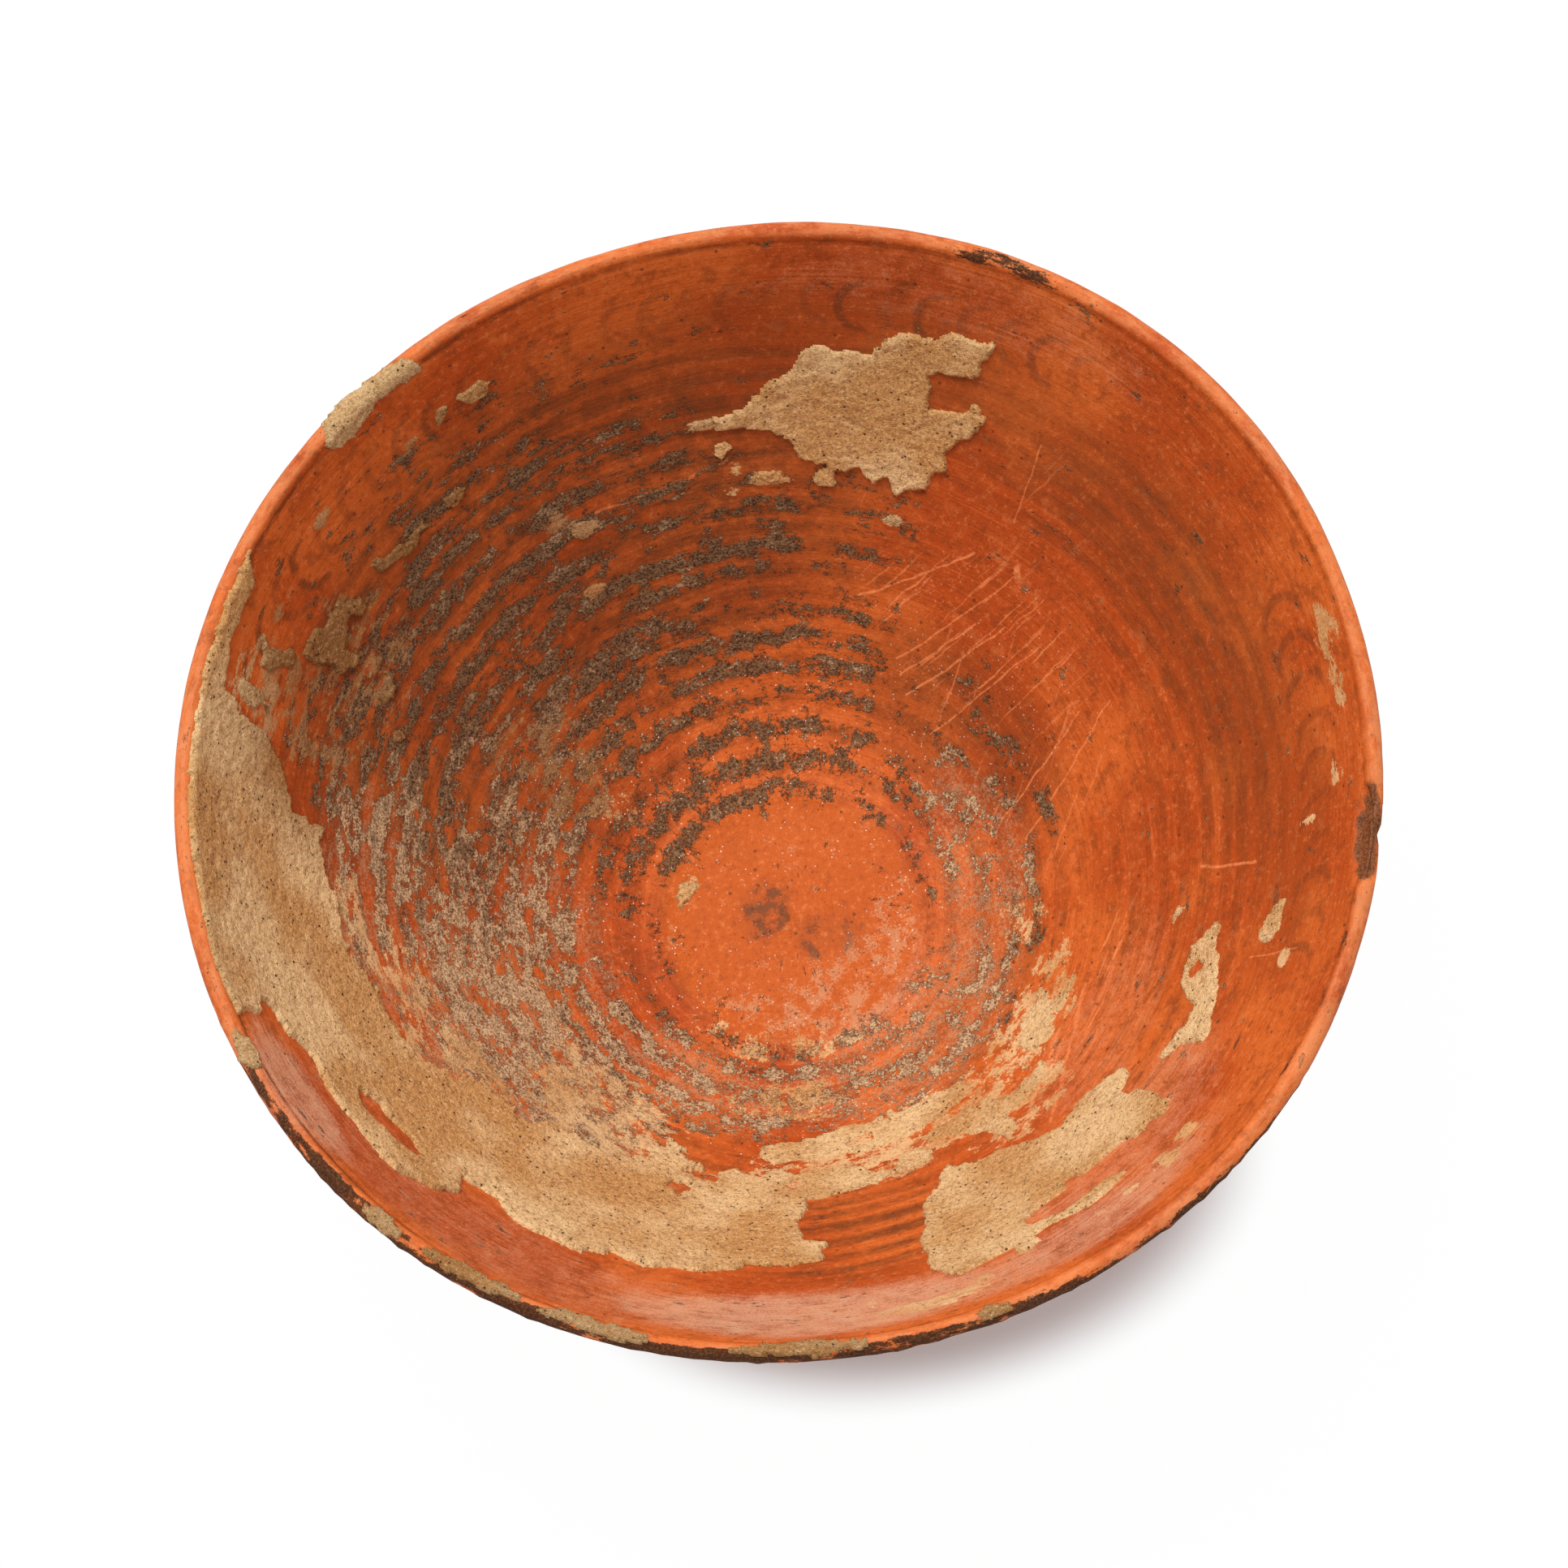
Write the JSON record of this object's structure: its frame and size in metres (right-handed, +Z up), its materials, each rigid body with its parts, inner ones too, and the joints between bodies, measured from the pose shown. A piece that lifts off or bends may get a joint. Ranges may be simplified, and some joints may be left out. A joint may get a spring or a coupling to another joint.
{
  "type": "painted bowl",
  "caption": "Round earthenware bowl with a flaring wall, a rolled lip and a low flat foot, coated with red slip and painted inside with dark bands; patches of dried earth cling to it.",
  "frame": {"origin": "middle of the base, on the surface that the bowl stands on", "axes": "+Z up along the bowl's axis; +X to the right and -Y towards the viewer in the picture, apart from a small roll of the camera"},
  "size_m": [0.24, 0.24, 0.1064],
  "materials": {
    "tan_clay": "bare fired clay, matt",
    "red_slip": "burnished red slip with painted dark bands, worn",
    "dried_earth": "rough dried earth"
  },
  "bodies": {
    "root": {"clay_body": "tan_clay", "crumb_far_lower": "dried_earth", "crumb_far_upper": "dried_earth", "crumb_floor": "dried_earth", "crumb_left_band": "dried_earth", "crumb_left_low_1": "dried_earth", "crumb_left_low_2": "dried_earth", "crumb_right": "dried_earth", "crumb_upper_left_1": "dried_earth", "crumb_upper_left_2": "dried_earth", "crust_far_wall": "dried_earth", "crust_left_band": "dried_earth", "crust_left_flake": "dried_earth", "crust_left_hook": "dried_earth", "crust_left_lump": "dried_earth", "crust_left_wall": "dried_earth", "crust_lip_near_1": "dried_earth", "crust_lip_near_2": "dried_earth", "crust_lip_near_3": "dried_earth", "crust_lip_near_4": "dried_earth", "crust_lip_near_5": "dried_earth", "crust_lip_near_6": "dried_earth", "crust_lip_upper_left": "dried_earth", "crust_near_low": "dried_earth", "crust_near_net": "dried_earth", "crust_near_right": "dried_earth", "crust_right_flake": "dried_earth", "crust_right_low": "dried_earth", "crust_right_wall": "dried_earth", "slip_coat": "red_slip"}
  },
  "joints": []
}
